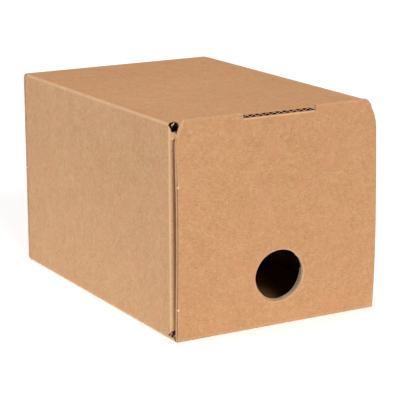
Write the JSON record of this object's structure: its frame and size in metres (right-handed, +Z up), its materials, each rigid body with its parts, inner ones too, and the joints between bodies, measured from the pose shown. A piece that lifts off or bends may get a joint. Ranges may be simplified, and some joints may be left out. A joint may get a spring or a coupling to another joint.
{
  "type": "bag-in-box carton",
  "caption": "Plain kraft corrugated carton for a bag of liquid, with a round tap hole in a front flap that locks with a tab in a slot.",
  "frame": {"origin": "on the surface it stands on, under the middle of the closed carton", "axes": "+Z up, the tap end faces -Y, +X to the right seen from the tap end"},
  "size_m": [0.166, 0.248, 0.1554],
  "materials": {
    "kraft_board": "matte unbleached kraft"
  },
  "bodies": {
    "carton": {"carton_body": "kraft_board"},
    "flap": {"front_flap": "kraft_board"}
  },
  "joints": [
    {"name": "front_flap_hinge", "type": "hinge", "parent": "carton", "child": "flap", "pos_m": [0, -0.1226, 0.0014], "axis": [1, 0, 0], "range_deg": [0, 90]}
  ]
}
